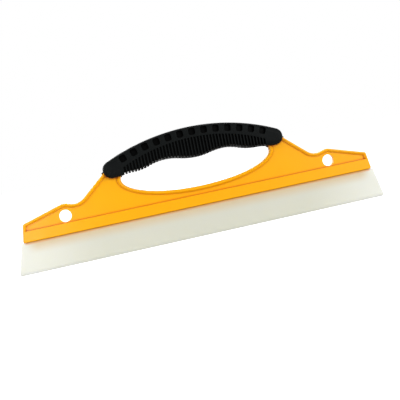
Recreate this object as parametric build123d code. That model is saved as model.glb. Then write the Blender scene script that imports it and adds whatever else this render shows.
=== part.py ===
"""Window cleaning squeegee: moulded frame, overmoulded grip and a silicone blade that slides in its channel.

Millimetres. X runs along the blade, Y through the thickness with the front face towards -Y, and Z is up.
The origin is at the middle of the wiping lip, so the whole squeegee stands above Z = 0.
"""
import math
import os

from build123d import *

# Blade
blade_reach = 25.0            # from the wiping lip up to the frame's lower edge
lip_half = 153.4              # half the length of the wiping lip
shoulder_half = 146.8         # half the blade's length where it meets the frame
lip_thickness = 0.8
bevel_height = 2.2            # the lip is bevelled over this height
bevel_thickness = 2.2
shoulder_thickness = 4.8      # the blade tapers from here down to the bevel
lip_corner_radius = 1.5
neck_thickness = 1.8          # the neck that passes through the mouth of the channel
bulb_radius = 1.7             # the round bead that the channel holds
bulb_rise = 5.0               # bead centre above the frame's lower edge
slide_clearance = 0.3         # between the blade and everything in the frame

# Frame
frame_half = 145.6            # half the length of the lower edge
frame_thickness = 6.6
end_lean = 2.6                # each end leans in by this much over its height
end_height = 14.3
end_corner_radius = 1.5
foot_corner_radius = 1.2
edge_radius = 0.9             # rounding of the rims and of the lower edge
ear_x = 109.4                 # corner of the ear above each hanging hole
ear_rise = 24.2
ear_radius = 9.0
valley_x = 98.1               # corner of the dip between the ear and the shoulder
valley_rise = 20.6
valley_radius = 12.0
shoulder_slope = 0.852        # rise over run of the shoulder, up to the handle bar
bar_corner_radius = 0.75      # where the shoulder runs into the handle bar, inside the grip
band_height = 8.75            # the plain band that holds the channel
web_thickness = 3.0           # the recessed panel between the rims
rim_width = 1.3               # flat face of the rims round the recess
recess_bevel = 1.2            # slope from a rim's face down towards the panel
recess_rise = 40.0            # the recess runs this high, under the grip's ends
hole_x = 109.8
hole_rise = 14.2
hole_radius = 4.8

# Finger opening
opening_half = 61.8           # half length of the opening, at the height of its widest place
opening_depth = 17.5          # from the widest place down to the bottom
opening_rise = 33.0           # height of the widest place above the lower edge
opening_rim = 2.0             # face of the rim round the opening
opening_edge_radius = 1.8     # the rim is well rounded for the fingers
opening_crown_rise = 47.0     # underside of the handle bar, at the middle
opening_corner_rise = 39.6    # underside of the handle bar, at its ends
opening_corner_inset = 5.4

# Grip
grip_rise = 63.8              # top of the grip above the frame's lower edge
grip_arch_radius = 170.5
grip_end_x = 67.4             # centre of the round end
grip_end_radius = 6.9
finger_x = 24.0               # the two finger hollows
finger_rise = 41.8
palm_rise = 38.8              # swell between the hollows
heel_x = 50.5                 # swell outside each hollow
heel_rise = 36.95
grip_thickness = 20.0         # at the middle
grip_end_thickness = 14.4
grip_edge_radius = 4.0
grip_cover = 3.2              # rubber above the handle bar
grip_fit = 0.1                # between the rubber and the frame
wrap_thickness = 0.8          # thin lips where the rubber runs on along the frame's edges
wrap_length = 3.5             # along the shoulder
wrap_drop = 2.0               # down the ends of the finger opening
wrap_width = 3.0

# Ribs under the fingers
rib_count = 46
rib_zone_half = 58.8
rib_zone_rise = 55.1          # upper end of the ribs at the middle
rib_zone_end_rise = 42.2      # and at the ends of the ribbed zone
rib_groove_width = 1.6
rib_groove_depth = 1.5

# Pockets along the top
pocket_count = 13
pocket_span = 40.4            # degrees of the arch from the first pocket to the last
pocket_width = 5.3
pocket_height = 5.7
pocket_corner_radius = 1.6
pocket_depth = 2.5
pocket_drop = 4.6             # pocket centre below the top of the grip
pocket_tilt = 8.0             # degrees that the pocket faces up
crown_slot_width = 7.0        # across the top, from front to back
crown_slot_depth = 0.8

# Worked out from the sizes above
frame_foot = blade_reach
arch_centre = grip_rise - grip_arch_radius
bar_radius = grip_arch_radius - grip_cover
past_all = 2.0 * lip_half


def at_height(rise):
    """Height above the wiping lip of a place given from the frame's lower edge."""
    return frame_foot + rise


def upright(face):
    """Stand a face drawn in X and height on the plane between front and back."""
    return Plane.XZ * face


def slab(face, thickness):
    """Solid of an upright face, with its thickness shared between front and back."""
    return extrude(upright(face), amount=thickness / 2, both=True)


def pair(edge):
    """An edge and its mirror image across the middle of the squeegee."""
    return [edge, mirror(edge, about=Plane.YZ)]


def arch_height(radius, x):
    """Height of an arc about the arch's centre, x from the middle."""
    return at_height(arch_centre) + math.sqrt(radius**2 - x**2)


def bar_corner():
    """Place where the straight shoulder meets the top of the handle bar."""
    foot = at_height(valley_rise) + shoulder_slope * valley_x - at_height(arch_centre)
    a = 1 + shoulder_slope**2
    b = -2 * shoulder_slope * foot
    c = foot**2 - bar_radius**2
    x = (-b - math.sqrt(b**2 - 4 * a * c)) / (2 * a)
    return (x, arch_height(bar_radius, x))


def frame_outline():
    """Front outline of the frame: sloping wings, ears over the holes, shoulders and the arched bar."""
    corner = bar_corner()
    side = FilletPolyline(
        (0, frame_foot),
        (frame_half, frame_foot),
        (frame_half - end_lean, at_height(end_height)),
        (ear_x, at_height(ear_rise)),
        (valley_x, at_height(valley_rise)),
        corner,
        radius=[foot_corner_radius, end_corner_radius, ear_radius, valley_radius],
    )
    top = ThreePointArc(corner, (0, arch_height(bar_radius, 0)), (-corner[0], corner[1]))
    outline = make_face(pair(side) + [top])
    return fillet(outline.vertices().sort_by(Axis.Y)[-2:], bar_corner_radius)


def opening_outline(grow=0.0):
    """Finger opening: half an ellipse below, rounded corners and a flat arch under the bar."""
    half = opening_half + grow
    waist = at_height(opening_rise)
    corner = (half - opening_corner_inset, at_height(opening_corner_rise) + grow)
    bottom = EllipticalCenterArc((0, waist), half, opening_depth + grow, start_angle=180, arc_size=180)
    side = TangentArc((half, waist), corner, tangent=(0, 1))
    crown = at_height(opening_crown_rise) + grow
    top = ThreePointArc(corner, (0, crown), (-corner[0], corner[1]))
    return make_face([bottom, top] + pair(side))


def recess_outline(shrink=0.0):
    """Foot of the recess inside the rims, from the band up to under the ends of the grip."""
    low = at_height(band_height) + shrink
    high = at_height(recess_rise) - shrink
    window = Pos(0, (low + high) / 2) * Rectangle(past_all, high - low)
    wall = recess_bevel + shrink
    inside_rims = offset(frame_outline(), -rim_width - wall, kind=Kind.INTERSECTION)
    return inside_rims & window - opening_outline(opening_rim + wall)


def front_and_back(body):
    """The front face and the back face of a flat body."""
    faces = body.faces().sort_by(Axis.Y)
    return [faces[0], faces[-1]]


def rounded_plate(grow):
    """Outline and finger opening as one flat body, swollen by grow, with its outer and inner edges rounded."""
    outline = offset(frame_outline(), grow) if grow else frame_outline()
    body = slab(outline - opening_outline(-grow), frame_thickness + 2 * grow)
    outer = [edge for face in front_and_back(body) for edge in face.outer_wire().edges()]
    body = fillet(outer, edge_radius + grow)
    inner = [edge for face in front_and_back(body) for wire in face.inner_wires() for edge in wire.edges()]
    return fillet(inner, opening_edge_radius + grow)


def rimmed_plate(grow=0.0):
    """Body of the frame, swollen by grow: rounded edges, and a recess in each face with bevelled rims."""
    thickness = frame_thickness + 2 * grow
    body = rounded_plate(grow)
    recess = slab(recess_outline(grow), 2 * thickness) - slab(recess_outline(grow), web_thickness + 2 * grow)
    plate = body - recess
    ledge = at_height(band_height) + grow
    loops = [max(face.inner_wires(), key=lambda wire: wire.length) for face in front_and_back(plate)]
    rims = [edge for loop in loops for edge in loop.edges() if edge.center().Z > ledge + edge_radius]
    return chamfer(rims, recess_bevel)


def channel_profile(clearance=0.0):
    """Round bead with a neck down to the frame's lower edge, seen along the squeegee."""
    bead_height = at_height(bulb_rise)
    bead = Pos(0, bead_height) * Circle(bulb_radius + clearance)
    foot = frame_foot - slide_clearance
    neck = Pos(0, (foot + bead_height) / 2) * Rectangle(neck_thickness + 2 * clearance, bead_height - foot)
    return bead + neck


def along(profile):
    """Carry a profile drawn in Y and Z along the whole squeegee."""
    return extrude(Plane.YZ * profile, amount=past_all / 2, both=True)


def make_frame():
    """Frame: rimmed plate with the hanging holes and the channel for the blade."""
    holes = Sketch() + [Pos(x, at_height(hole_rise)) * Circle(hole_radius) for x in (-hole_x, hole_x)]
    return rimmed_plate() - slab(holes, 2 * frame_thickness) - along(channel_profile(slide_clearance))


def make_blade():
    """Blade: bead and neck in the channel, then a web that tapers to the bevelled wiping lip."""
    top = frame_foot - slide_clearance
    half_web = [
        (lip_thickness / 2, 0),
        (bevel_thickness / 2, bevel_height),
        (shoulder_thickness / 2, top),
    ]
    web = make_face(Polyline(*half_web, *[(-y, z) for y, z in reversed(half_web)], close=True))
    lean = end_lean / end_height
    root_half = frame_half - end_corner_radius - slide_clearance
    root_top = at_height(bulb_rise + bulb_radius) + slide_clearance
    side = FilletPolyline(
        (0, 0), (lip_half, 0), (shoulder_half, top), radius=lip_corner_radius
    )
    root = Polyline(
        (shoulder_half, top),
        (root_half, top),
        (root_half - lean * (root_top - top), root_top),
        (0, root_top),
    )
    outline = make_face(pair(side) + pair(root))
    return along(web + channel_profile()) & slab(outline, frame_thickness)


def s_curve(start, end):
    """Two equal arcs that leave start and reach end level, meeting half way."""
    middle = ((start[0] + end[0]) / 2, (start[1] + end[1]) / 2)
    return [TangentArc(start, middle, tangent=(1, 0)), TangentArc(end, middle, tangent=(-1, 0))]


def grip_outline():
    """Front outline of the grip: arched top, round ends, and swells and finger hollows below."""
    end_height_now = arch_height(grip_arch_radius - grip_end_radius, grip_end_x)
    lower = [
        (0, at_height(palm_rise)),
        (finger_x, at_height(finger_rise)),
        (heel_x, at_height(heel_rise)),
        (grip_end_x, end_height_now - grip_end_radius),
    ]
    rise = end_height_now - at_height(arch_centre)
    reach = grip_arch_radius / (grip_arch_radius - grip_end_radius)
    shoulder = (grip_end_x * reach, at_height(arch_centre) + rise * reach)
    end = TangentArc(lower[-1], shoulder, tangent=(1, 0))
    top = ThreePointArc(shoulder, (0, at_height(grip_rise)), (-shoulder[0], shoulder[1]))
    edges = [top] + pair(end)
    for start, stop in zip(lower, lower[1:]):
        for arc in s_curve(start, stop):
            edges += pair(arc)
    return make_face(edges)


def grip_form(inset=0.0):
    """Outer form of the grip, drawn in by inset: thickest at the middle, with rounded edges."""
    reach = grip_end_x + grip_end_radius
    half_middle = grip_thickness / 2 - inset
    half_end = grip_end_thickness / 2 - inset
    front = ThreePointArc((-reach, -half_end), (0, -half_middle), (reach, -half_end))
    back = ThreePointArc((-reach, half_end), (0, half_middle), (reach, half_end))
    sides = [Line((x, -half_end), (x, half_end)) for x in (-reach, reach)]
    plan = make_face([front, back] + sides)
    outline = offset(grip_outline(), -inset) if inset else grip_outline()
    column = extrude(plan, amount=at_height(grip_rise))
    form = slab(outline, 2 * grip_thickness) & column
    faces = form.faces().sort_by(Axis.Y)
    return fillet(faces[0].edges() + faces[-1].edges(), grip_edge_radius - inset)


def rib_grooves():
    """Upright grooves round the underside of the grip, which leave the ribs standing between them."""
    pitch = 2 * rib_zone_half / rib_count
    crest = at_height(rib_zone_rise)
    end = at_height(rib_zone_end_rise)
    arc = ThreePointArc((-rib_zone_half, end), (0, crest), (rib_zone_half, end))
    floor = Polyline((-rib_zone_half, end), (-rib_zone_half, 0), (rib_zone_half, 0), (rib_zone_half, end))
    zone = make_face([arc, floor])
    first = -rib_zone_half + pitch / 2
    strip = Rectangle(rib_groove_width, 2 * crest)
    strips = Sketch() + [Pos(first + pitch * i, 0) * strip for i in range(rib_count)]
    return slab(zone & strips, 2 * grip_thickness) - grip_form(rib_groove_depth)


def pocket_cutters():
    """Pockets in both upper faces and a shallow slot over the crown, at even angles along the arch."""
    outline = RectangleRounded(pocket_width, pocket_height, pocket_corner_radius)
    block = extrude(outline, amount=grip_thickness)
    slot_outline = RectangleRounded(pocket_width, crown_slot_width, pocket_corner_radius)
    slot = Pos(0, 0, grip_arch_radius - crown_slot_depth) * extrude(slot_outline, amount=grip_cover)
    cutters = []
    for i in range(pocket_count):
        angle = pocket_span * (i / (pocket_count - 1) - 0.5)
        x = grip_arch_radius * math.sin(math.radians(angle))
        share = (x / (grip_end_x + grip_end_radius)) ** 2
        face_y = (grip_thickness - (grip_thickness - grip_end_thickness) * share) / 2
        seat = Pos(0, face_y - pocket_depth, grip_arch_radius - pocket_drop)
        back = seat * Rot(X=-90 + pocket_tilt) * block
        front = mirror(back, about=Plane.XZ)
        turn = Pos(0, 0, at_height(arch_centre)) * Rot(Y=angle)
        cutters += [turn * cutter for cutter in (front, back, slot)]
    return cutters


def wrap_lips():
    """Thin lips of rubber that run on past the grip's ends along the shoulder and the opening's edge."""
    corner = bar_corner()
    slope = Vector(valley_x - corner[0], at_height(valley_rise) - corner[1]).normalized()
    outward = Vector(-slope.Y, slope.X)
    start = Vector(grip_end_x, at_height(valley_rise) + shoulder_slope * (valley_x - grip_end_x))
    stop = start + slope * (grip_end_radius + wrap_length)
    inner = outward * grip_fit
    outer = outward * (grip_fit + wrap_thickness)
    strip = make_face(Polyline(start + inner, stop + inner, stop + outer, start + outer, close=True))
    window = Pos(opening_half, at_height(heel_rise)) * Rectangle(2 * opening_corner_inset, 2 * wrap_drop)
    ring = opening_outline(-grip_fit) - opening_outline(-grip_fit - wrap_thickness)
    right = slab(strip, wrap_width) + slab(ring & window, wrap_width)
    return right + mirror(right, about=Plane.YZ)


def make_grip():
    """Grip: rubber moulded round the handle bar, ribbed below and pocketed on top."""
    solid = grip_form() - rib_grooves() - pocket_cutters() + wrap_lips()
    return solid - rimmed_plate(grip_fit)


def main():
    """Build each piece and write it to its own file."""
    os.makedirs("parts", exist_ok=True)
    pieces = {"frame": make_frame(), "blade": make_blade(), "grip": make_grip()}
    for name, piece in pieces.items():
        export_step(piece, f"parts/{name}.step")


main()
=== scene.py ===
"""Looks of a window cleaning squeegee: yellow rimmed frame, black rubber grip and milky silicone blade."""

import math

import bpy
import numpy as np
from mathutils import Matrix, Vector


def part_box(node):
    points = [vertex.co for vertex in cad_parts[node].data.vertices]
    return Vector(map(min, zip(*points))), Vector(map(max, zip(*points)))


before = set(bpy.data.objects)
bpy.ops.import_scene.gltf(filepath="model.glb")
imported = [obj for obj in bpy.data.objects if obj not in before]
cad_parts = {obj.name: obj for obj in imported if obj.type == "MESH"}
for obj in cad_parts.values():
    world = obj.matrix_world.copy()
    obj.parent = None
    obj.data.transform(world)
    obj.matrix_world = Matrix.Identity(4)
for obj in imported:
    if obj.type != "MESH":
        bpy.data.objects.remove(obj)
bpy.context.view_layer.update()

bl_info = {
    "name": "Window squeegee looks",
    "version": (1, 0, 0),
    "blender": (4, 5, 0),
    "location": "3D View > Sidebar > Squeegee",
    "description": "Finishes the frame, the grip and the blade of a squeegee and sets its stage",
    "category": "Object",
}

MM_PER_METRE = 1000

FRAME_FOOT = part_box("frame")[0].z
FRAME_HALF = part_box("frame")[1].x
BLADE_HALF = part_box("blade")[1].x

# A place with at least this share of open sky shows no painted crease shade.
OPEN_SKY = 0.95

# A spread is how far the roughness varies to either side. A depth is the height of a relief, in metres.
PLASTIC_SPREAD = 0.05
PLASTIC_GRAIN_DEPTH = 0.00002
RUBBER_SPREAD = 0.08
RUBBER_GRAIN_DEPTH = 0.00004
SILICONE_SPREAD = 0.08
SILICONE_CLOUD_DEPTH = 0.0002

# The parting line stands full up to one distance from the middle plane, and has faded out at another.
SEAM_FULL = 0.0001
SEAM_GONE = 0.00025
SEAM_DEPTH = 0.00008

# The floor lies a little under the wiping lip. Its glow is light of its own, where it is seen.
FLOOR_RADIUS = 4
FLOOR_SIDES = 64
FLOOR_DROP = 0.0001
FLOOR_GREY = 0.5
FLOOR_GLOW = 0.82

SENSOR_MM = 36

# Where each soft box stands, what it faces and how wide it is. Its power is a setting of the stage.
LAMPS = (
    {"name": "key", "place": (-0.8, -0.42, 0.48), "target": (-0.03, 0, 0.04), "size": 0.35},
    {"name": "fill", "place": (0.6, -0.6, 0.2), "target": (0.03, 0, 0.04), "size": 0.5},
    {"name": "back", "place": (0.1, 0.8, 0.35), "target": (0, 0, 0.04), "size": 0.6},
    {"name": "sheen", "place": (-0.185, -0.3, 0.02), "target": (-0.145, 0, 0.04), "size": 0.05},
)


def linear(code):
    """Linear red, green and blue of an sRGB hex colour."""
    shares = np.array([int(code[i : i + 2], 16) for i in (1, 3, 5)]) / 255
    return tuple(np.where(shares <= 0.04045, shares / 12.92, ((shares + 0.055) / 1.055) ** 2.4).tolist())


def per_metre(size_mm):
    """Scale of a pattern on Object coordinates, in metres, whose features are size_mm wide."""
    return MM_PER_METRE / size_mm


def colour_property(name, description, code):
    """A colour that the user picks, with a hex colour as its default."""
    return bpy.props.FloatVectorProperty(
        name=name, description=description, subtype="COLOR", size=3, min=0, max=1, default=linear(code)
    )


def share_property(name, description, share):
    """A share from 0 to 1 that the user sets."""
    return bpy.props.FloatProperty(
        name=name, description=description, subtype="FACTOR", min=0, max=1, default=share
    )


def width_property(name, description, size_mm):
    """A pattern's width in millimetres."""
    return bpy.props.FloatProperty(name=name, description=description, min=0.05, max=200, default=size_mm)


def reach_property(name, description, reach):
    """A distance in metres over which a colour fades."""
    return bpy.props.FloatProperty(name=name, description=description, unit="LENGTH", min=0, default=reach)


def angle_property(name, description, degrees):
    """An angle of the camera, with a default in degrees."""
    return bpy.props.FloatProperty(
        name=name, description=description, subtype="ANGLE", default=math.radians(degrees)
    )


def power_property(name, description, watts):
    """A lamp's power in watts."""
    return bpy.props.FloatProperty(name=name, description=description, unit="POWER", min=0, default=watts)


class PlasticSettings(bpy.types.PropertyGroup):
    colour: colour_property("Yellow", "Colour of the frame's plastic", "#FAB000")
    deep_colour: colour_property("Deep yellow", "Colour in the denser clouds of pigment", "#F8A900")
    # Painted shade: a deeper orange put into the colour in the creases, where the frame's own walls hide the
    # light.
    crease_shade_colour: colour_property("Crease", "Deeper orange where light bounces in the creases", "#C25400")
    crease_shade_mm: width_property("Crease (mm)", "How far the deeper colour runs out of a crease", 2.0)
    crease_shade_open: share_property(
        "Crease opening", "Share of open sky below which the deeper colour is full", 0.4
    )
    roughness: share_property("Roughness", "Roughness of the moulded skin", 0.34)
    cloud_mm: width_property("Clouds (mm)", "Width of the clouds in the pigment", 14)
    # Coarser than the real grain, which is too fine to show.
    grain_mm: width_property("Grain (mm)", "Width of the grain that the mould leaves", 0.9)


class RubberSettings(bpy.types.PropertyGroup):
    colour: colour_property("Black", "Colour of the grip's rubber", "#0D0F0F")
    bloom_colour: colour_property("Bloom", "Greyer colour of the bloom on rubber", "#151717")
    # Painted shade: blacker in the grooves and pockets, where the rubber's own walls close them in.
    crease_shade_colour: colour_property(
        "Crease", "Blacker colour in the grooves and pockets, free of bloom", "#000000"
    )
    crease_shade_mm: width_property("Crease (mm)", "How far the blacker colour runs out of a groove", 6)
    crease_shade_open: share_property(
        "Crease opening", "Share of open sky below which the blacker colour is full", 0.6
    )
    roughness: share_property("Roughness", "Roughness of the rubber", 0.42)
    bloom_mm: width_property("Bloom (mm)", "Width of the patches of bloom", 5)
    # Coarser than the real grain, which is too fine to show.
    grain_mm: width_property("Grain (mm)", "Width of the grain in the rubber", 0.6)


class SiliconeSettings(bpy.types.PropertyGroup):
    colour: colour_property("Milky white", "Colour of the silicone", "#D6D7CB")
    # Painted light: paler towards the blade's ends, as if lit through there.
    end_light_colour: colour_property("End white", "Paler colour where light enters at the blade's ends", "#E4E5DD")
    # Painted shade and painted yellow bounce light: the silicone is warmer and darker below the frame.
    frame_shade_colour: colour_property(
        "Warm white", "Colour that the yellow frame lends the silicone under it", "#D8C4A0"
    )
    frame_shade_reach: reach_property("Warm reach", "How far down the warm colour runs", 0.011)
    # Painted shade: a deeper amber in the gap just below the frame.
    frame_entry_shade_colour: colour_property("Amber", "Deeper colour where the silicone enters the frame", "#DC9A48")
    frame_entry_shade_reach: reach_property("Amber reach", "How far down the amber colour runs", 0.0025)
    end_light_reach: reach_property("End reach", "How far in from each end it is paler", 0.075)
    milkiness: share_property("Milkiness", "Share of light that spreads inside the silicone", 0.6)
    roughness: share_property("Roughness", "Roughness of the silicone", 0.38)
    cloud_mm: width_property("Clouds (mm)", "Width of the clouds in the silicone", 18)


class StageSettings(bpy.types.PropertyGroup):
    camera_place: bpy.props.FloatVectorProperty(
        name="Camera",
        description="Where the camera stands",
        subtype="XYZ",
        unit="LENGTH",
        size=3,
        default=(-0.095416, -0.557524, 0.074263),
    )
    heading: angle_property("Heading", "Turn of the view towards +X", 9.452)
    pitch: angle_property("Pitch", "How far the view looks down", 4.574)
    roll: angle_property("Roll", "Turn about the line of sight", -11.401)
    lens: bpy.props.FloatProperty(name="Lens (mm)", description="Focal length", min=10, default=63)
    horizon: bpy.props.FloatProperty(name="Horizon", description="Light from the sides", min=0, default=0.2)
    overhead: bpy.props.FloatProperty(name="Overhead", description="Light from above", min=0, default=0.9)
    key_power: power_property("Key", "Key lamp", 2.8)
    fill_power: power_property("Fill", "Fill lamp", 4.4)
    back_power: power_property("Back", "Soft lamp behind the squeegee", 4.2)
    sheen_power: power_property("Sheen", "Small lamp near the left end", 0.25)


def add_node(tree, kind, sockets=None, links=None, **settings):
    """Adds a node with its settings, the values of its sockets, and the outputs that feed it."""
    node = tree.nodes.new(kind)
    for name, value in settings.items():
        setattr(node, name, value)
    for name, value in (sockets or {}).items():
        node.inputs[name].default_value = value
    for name, output in (links or {}).items():
        tree.links.new(output, node.inputs[name])
    return node


def opaque(colour):
    """The colour with an alpha of 1."""
    return (*colour, 1.0)


def new_material(name):
    """An empty material and its node tree."""
    material = bpy.data.materials.new(name)
    material.use_nodes = True
    material.node_tree.nodes.clear()
    return material, material.node_tree


def painted_crease_shade(tree, colour, settings):
    """The colour, shifted to the settings' painted crease shade where walls close a place in and hide the
    light.
    """
    openness = add_node(
        tree, "ShaderNodeAmbientOcclusion", {"Distance": settings.crease_shade_mm / MM_PER_METRE}, samples=16
    )
    share = add_node(
        tree,
        "ShaderNodeMapRange",
        {"From Min": settings.crease_shade_open, "From Max": OPEN_SKY},
        {"Value": openness.outputs["AO"]},
    )
    return add_node(
        tree,
        "ShaderNodeMix",
        {"A": opaque(settings.crease_shade_colour)},
        {"Factor": share.outputs["Result"], "B": colour.outputs["Result"]},
        data_type="RGBA",
    )


def finish_node(node_name, material):
    """Gives a CAD node its material."""
    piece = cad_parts[node_name]
    piece.data.materials.clear()
    piece.data.materials.append(material)


def moulded_plastic(settings):
    """Polypropylene, injection moulded: satin, with faint clouds of pigment, a grain, a parting line and
    painted shade in its creases.
    """
    material, tree = new_material("moulded_polypropylene")
    place = add_node(tree, "ShaderNodeTexCoord").outputs["Object"]
    clouds = add_node(
        tree, "ShaderNodeTexNoise", {"Scale": per_metre(settings.cloud_mm), "Detail": 3.0}, {"Vector": place}
    )
    colour = add_node(
        tree,
        "ShaderNodeMix",
        {"A": opaque(settings.colour), "B": opaque(settings.deep_colour)},
        {"Factor": clouds.outputs["Fac"]},
        data_type="RGBA",
    )
    polish = add_node(
        tree,
        "ShaderNodeMapRange",
        {"To Min": settings.roughness - PLASTIC_SPREAD, "To Max": settings.roughness + PLASTIC_SPREAD},
        {"Value": clouds.outputs["Fac"]},
    )
    grain = add_node(
        tree, "ShaderNodeTexNoise", {"Scale": per_metre(settings.grain_mm), "Detail": 2.0}, {"Vector": place}
    )
    skin = add_node(
        tree,
        "ShaderNodeBump",
        {"Strength": 0.25, "Distance": PLASTIC_GRAIN_DEPTH},
        {"Height": grain.outputs["Fac"]},
    )
    spot = add_node(tree, "ShaderNodeSeparateXYZ", links={"Vector": place})
    off_middle = add_node(tree, "ShaderNodeMath", links={0: spot.outputs["Y"]}, operation="ABSOLUTE")
    seam = add_node(
        tree,
        "ShaderNodeMapRange",
        {"From Min": SEAM_FULL, "From Max": SEAM_GONE, "To Min": 1.0, "To Max": 0.0},
        {"Value": off_middle.outputs["Value"]},
    )
    parting_line = add_node(
        tree,
        "ShaderNodeBump",
        {"Strength": 0.4, "Distance": SEAM_DEPTH},
        {"Height": seam.outputs["Result"], "Normal": skin.outputs["Normal"]},
    )
    shader = add_node(
        tree,
        "ShaderNodeBsdfPrincipled",
        {"IOR": 1.49, "Specular IOR Level": 0.2},
        {
            "Base Color": painted_crease_shade(tree, colour, settings).outputs["Result"],
            "Roughness": polish.outputs["Result"],
            "Normal": parting_line.outputs["Normal"],
        },
    )
    add_node(tree, "ShaderNodeOutputMaterial", links={"Surface": shader.outputs["BSDF"]})
    return material


def moulded_rubber(settings):
    """Thermoplastic rubber, moulded over the bar: a matt black with a greyer bloom, a grain and painted shade
    in its grooves and pockets.
    """
    material, tree = new_material("thermoplastic_rubber")
    place = add_node(tree, "ShaderNodeTexCoord").outputs["Object"]
    bloom = add_node(
        tree, "ShaderNodeTexNoise", {"Scale": per_metre(settings.bloom_mm), "Detail": 4.0}, {"Vector": place}
    )
    colour = add_node(
        tree,
        "ShaderNodeMix",
        {"A": opaque(settings.colour), "B": opaque(settings.bloom_colour)},
        {"Factor": bloom.outputs["Fac"]},
        data_type="RGBA",
    )
    polish = add_node(
        tree,
        "ShaderNodeMapRange",
        {"To Min": settings.roughness - RUBBER_SPREAD, "To Max": settings.roughness + RUBBER_SPREAD},
        {"Value": bloom.outputs["Fac"]},
    )
    grain = add_node(
        tree, "ShaderNodeTexNoise", {"Scale": per_metre(settings.grain_mm), "Detail": 3.0}, {"Vector": place}
    )
    skin = add_node(
        tree,
        "ShaderNodeBump",
        {"Strength": 0.35, "Distance": RUBBER_GRAIN_DEPTH},
        {"Height": grain.outputs["Fac"]},
    )
    shader = add_node(
        tree,
        "ShaderNodeBsdfPrincipled",
        {"IOR": 1.5, "Specular IOR Level": 0.03},
        {
            "Base Color": painted_crease_shade(tree, colour, settings).outputs["Result"],
            "Roughness": polish.outputs["Result"],
            "Normal": skin.outputs["Normal"],
        },
    )
    add_node(tree, "ShaderNodeOutputMaterial", links={"Surface": shader.outputs["BSDF"]})
    return material


def painted_frame_shade(tree, colour, shade_tint, reach):
    """The colour, shifted to a painted shade colour over a reach below the frame, as far along as the frame
    goes.
    """
    # In the frame's own coordinates, so that the painted shade stays under the frame when the blade slides.
    on_frame = add_node(tree, "ShaderNodeTexCoord", object=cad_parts["frame"]).outputs["Object"]
    spot = add_node(tree, "ShaderNodeSeparateXYZ", links={"Vector": on_frame})
    height = add_node(
        tree,
        "ShaderNodeMapRange",
        {"From Min": FRAME_FOOT - reach, "From Max": FRAME_FOOT},
        {"Value": spot.outputs["Z"]},
        interpolation_type="SMOOTHSTEP",
    )
    off_middle = add_node(tree, "ShaderNodeMath", links={0: spot.outputs["X"]}, operation="ABSOLUTE")
    share = add_node(
        tree,
        "ShaderNodeMapRange",
        {"From Min": FRAME_HALF - reach, "From Max": FRAME_HALF, "To Max": 0.0},
        {"Value": off_middle.outputs["Value"], "To Min": height.outputs["Result"]},
        interpolation_type="SMOOTHSTEP",
    )
    return add_node(
        tree,
        "ShaderNodeMix",
        {"B": opaque(shade_tint)},
        {"Factor": share.outputs["Result"], "A": colour.outputs["Result"]},
        data_type="RGBA",
    )


def milky_silicone(settings):
    """Silicone rubber, extruded: milky, lit through, clouded, with painted light paler at its ends and
    painted shade and yellow bounce light under the frame.
    """
    material, tree = new_material("milky_silicone_rubber")
    place = add_node(tree, "ShaderNodeTexCoord").outputs["Object"]
    spot = add_node(tree, "ShaderNodeSeparateXYZ", links={"Vector": place})
    off_middle = add_node(tree, "ShaderNodeMath", links={0: spot.outputs["X"]}, operation="ABSOLUTE")
    # Painted light: paler towards each end of the blade, as if lit through there.
    end_light_share = add_node(
        tree,
        "ShaderNodeMapRange",
        {"From Min": BLADE_HALF - settings.end_light_reach, "From Max": BLADE_HALF},
        {"Value": off_middle.outputs["Value"]},
        interpolation_type="SMOOTHSTEP",
    )
    white = add_node(
        tree,
        "ShaderNodeMix",
        {"A": opaque(settings.colour), "B": opaque(settings.end_light_colour)},
        {"Factor": end_light_share.outputs["Result"]},
        data_type="RGBA",
    )
    # Painted shade and painted yellow bounce light below the frame, deepest in the gap where the blade enters
    # it.
    warm = painted_frame_shade(tree, white, settings.frame_shade_colour, settings.frame_shade_reach)
    colour = painted_frame_shade(tree, warm, settings.frame_entry_shade_colour, settings.frame_entry_shade_reach)
    clouds = add_node(
        tree, "ShaderNodeTexNoise", {"Scale": per_metre(settings.cloud_mm), "Detail": 3.0}, {"Vector": place}
    )
    polish = add_node(
        tree,
        "ShaderNodeMapRange",
        {"To Min": settings.roughness - SILICONE_SPREAD, "To Max": settings.roughness + SILICONE_SPREAD},
        {"Value": clouds.outputs["Fac"]},
    )
    skin = add_node(
        tree,
        "ShaderNodeBump",
        {"Strength": 0.2, "Distance": SILICONE_CLOUD_DEPTH},
        {"Height": clouds.outputs["Fac"]},
    )
    shader = add_node(
        tree,
        "ShaderNodeBsdfPrincipled",
        {
            "IOR": 1.41,
            "Specular IOR Level": 0.4,
            "Subsurface Weight": settings.milkiness,
            "Subsurface Radius": (1.0, 0.95, 0.8),
            "Subsurface Scale": 0.004,
        },
        {
            "Base Color": colour.outputs["Result"],
            "Roughness": polish.outputs["Result"],
            "Normal": skin.outputs["Normal"],
        },
    )
    add_node(tree, "ShaderNodeOutputMaterial", links={"Surface": shader.outputs["BSDF"]})
    return material


class SQUEEGEE_OT_frame(bpy.types.Operator):
    """Finish the frame in moulded plastic"""

    bl_idname = "squeegee.frame"
    bl_label = "Frame"

    def execute(self, context):
        finish_node("frame", moulded_plastic(context.scene.squeegee_plastic))
        return {"FINISHED"}


class SQUEEGEE_OT_grip(bpy.types.Operator):
    """Finish the grip in black rubber"""

    bl_idname = "squeegee.grip"
    bl_label = "Grip"

    def execute(self, context):
        finish_node("grip", moulded_rubber(context.scene.squeegee_rubber))
        return {"FINISHED"}


class SQUEEGEE_OT_blade(bpy.types.Operator):
    """Finish the blade in milky silicone"""

    bl_idname = "squeegee.blade"
    bl_label = "Blade"

    def execute(self, context):
        finish_node("blade", milky_silicone(context.scene.squeegee_silicone))
        return {"FINISHED"}


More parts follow.
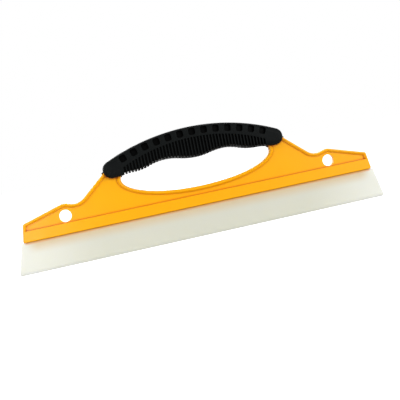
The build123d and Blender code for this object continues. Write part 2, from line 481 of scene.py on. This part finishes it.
def seen_directly(tree):
    """1 where the camera sees a thing, straight or by a reflection or through something clear, and else 0."""
    path = add_node(tree, "ShaderNodeLightPath")
    straight_or_mirrored = add_node(
        tree,
        "ShaderNodeMath",
        links={0: path.outputs["Is Camera Ray"], 1: path.outputs["Is Glossy Ray"]},
        operation="MAXIMUM",
    )
    return add_node(
        tree,
        "ShaderNodeMath",
        links={0: straight_or_mirrored.outputs["Value"], 1: path.outputs["Is Transmission Ray"]},
        operation="MAXIMUM",
    ).outputs["Value"]


def white_surroundings(settings):
    """World: white where it is seen, and a soft light on the object that grows from horizon to overhead."""
    world = bpy.data.worlds.new("white_studio")
    world.use_nodes = True
    tree = world.node_tree
    tree.nodes.clear()
    direction = add_node(tree, "ShaderNodeTexCoord").outputs["Generated"]
    height = add_node(tree, "ShaderNodeSeparateXYZ", links={"Vector": direction}).outputs["Z"]
    sky = add_node(
        tree,
        "ShaderNodeMapRange",
        {"To Min": settings.horizon, "To Max": settings.overhead},
        {"Value": height},
    )
    strength = add_node(
        tree,
        "ShaderNodeMapRange",
        {"To Max": 1.0},
        {"Value": seen_directly(tree), "To Min": sky.outputs["Result"]},
    )
    light = add_node(
        tree, "ShaderNodeBackground", {"Color": (1, 1, 1, 1)}, {"Strength": strength.outputs["Result"]}
    )
    add_node(tree, "ShaderNodeOutputWorld", links={"Surface": light.outputs["Background"]})
    return world


def pale_floor():
    """Floor: a flat disc, its rim at one radius and at even angles, that glows where it is seen."""
    angles = np.linspace(0, 2 * math.pi, FLOOR_SIDES, endpoint=False)
    heights = np.full(FLOOR_SIDES, -FLOOR_DROP)
    rim = np.stack([FLOOR_RADIUS * np.cos(angles), FLOOR_RADIUS * np.sin(angles), heights], axis=1)
    mesh = bpy.data.meshes.new("floor")
    mesh.from_pydata(rim.tolist(), [], [list(range(FLOOR_SIDES))])
    floor = bpy.data.objects.new("floor", mesh)
    bpy.context.scene.collection.objects.link(floor)
    material, tree = new_material("white_paper_floor")
    paper = add_node(tree, "ShaderNodeBsdfDiffuse", {"Color": opaque([FLOOR_GREY] * 3)})
    shown = add_node(tree, "ShaderNodeMath", {1: FLOOR_GLOW}, {0: seen_directly(tree)}, operation="MULTIPLY")
    glow = add_node(tree, "ShaderNodeEmission", links={"Strength": shown.outputs["Value"]})
    both = add_node(
        tree, "ShaderNodeAddShader", links={0: paper.outputs["BSDF"], 1: glow.outputs["Emission"]}
    )
    add_node(tree, "ShaderNodeOutputMaterial", links={"Surface": both.outputs["Shader"]})
    mesh.materials.append(material)


def soft_lamp(name, place, target, size, power):
    """A square soft box at place that faces target."""
    lamp = bpy.data.lights.new(name, "AREA")
    lamp.size = size
    lamp.energy = power
    holder = bpy.data.objects.new(name, lamp)
    holder.location = place
    holder.rotation_euler = (Vector(target) - Vector(place)).to_track_quat("-Z", "Y").to_euler()
    bpy.context.scene.collection.objects.link(holder)


def place_camera(settings):
    """Camera: turned about Z by its heading, tipped down by its pitch, rolled about the line of sight."""
    camera = bpy.data.cameras.new("camera")
    camera.lens = settings.lens
    camera.sensor_width = SENSOR_MM
    holder = bpy.data.objects.new("camera", camera)
    turn = (
        Matrix.Rotation(-settings.heading, 4, "Z")
        @ Matrix.Rotation(math.pi / 2 - settings.pitch, 4, "X")
        @ Matrix.Rotation(settings.roll, 4, "Z")
    )
    holder.matrix_world = Matrix.Translation(settings.camera_place) @ turn
    bpy.context.scene.collection.objects.link(holder)
    bpy.context.scene.camera = holder


class SQUEEGEE_OT_stage(bpy.types.Operator):
    """Set the floor, the lamps and the camera"""

    bl_idname = "squeegee.stage"
    bl_label = "Stage"

    def execute(self, context):
        settings = context.scene.squeegee_stage
        context.scene.view_settings.view_transform = "Standard"
        context.scene.world = white_surroundings(settings)
        pale_floor()
        for lamp in LAMPS:
            soft_lamp(**lamp, power=getattr(settings, lamp["name"] + "_power"))
        place_camera(settings)
        return {"FINISHED"}


class SQUEEGEE_PT_panel(bpy.types.Panel):
    """Finishes of the squeegee and its stage"""

    bl_idname = "SQUEEGEE_PT_panel"
    bl_label = "Squeegee"
    bl_space_type = "VIEW_3D"
    bl_region_type = "UI"
    bl_category = "Squeegee"

    def draw(self, context):
        for operator, settings in PIECES:
            box = self.layout.box()
            box.operator(operator.bl_idname)
            group = getattr(context.scene, settings)
            for name in group.bl_rna.properties.keys():
                if name not in {"rna_type", "name"}:
                    box.prop(group, name)


SETTINGS = {
    "squeegee_plastic": PlasticSettings,
    "squeegee_rubber": RubberSettings,
    "squeegee_silicone": SiliconeSettings,
    "squeegee_stage": StageSettings,
}
PIECES = (
    (SQUEEGEE_OT_frame, "squeegee_plastic"),
    (SQUEEGEE_OT_grip, "squeegee_rubber"),
    (SQUEEGEE_OT_blade, "squeegee_silicone"),
    (SQUEEGEE_OT_stage, "squeegee_stage"),
)
CLASSES = (*SETTINGS.values(), *(operator for operator, _ in PIECES), SQUEEGEE_PT_panel)


def register():
    for kind in CLASSES:
        bpy.utils.register_class(kind)
    for name, kind in SETTINGS.items():
        setattr(bpy.types.Scene, name, bpy.props.PointerProperty(type=kind))


def unregister():
    for name in SETTINGS:
        delattr(bpy.types.Scene, name)
    for kind in reversed(CLASSES):
        bpy.utils.unregister_class(kind)


def main():
    register()
    bpy.ops.squeegee.frame()
    bpy.ops.squeegee.grip()
    bpy.ops.squeegee.blade()
    bpy.ops.squeegee.stage()


if __name__ == "__main__":
    main()
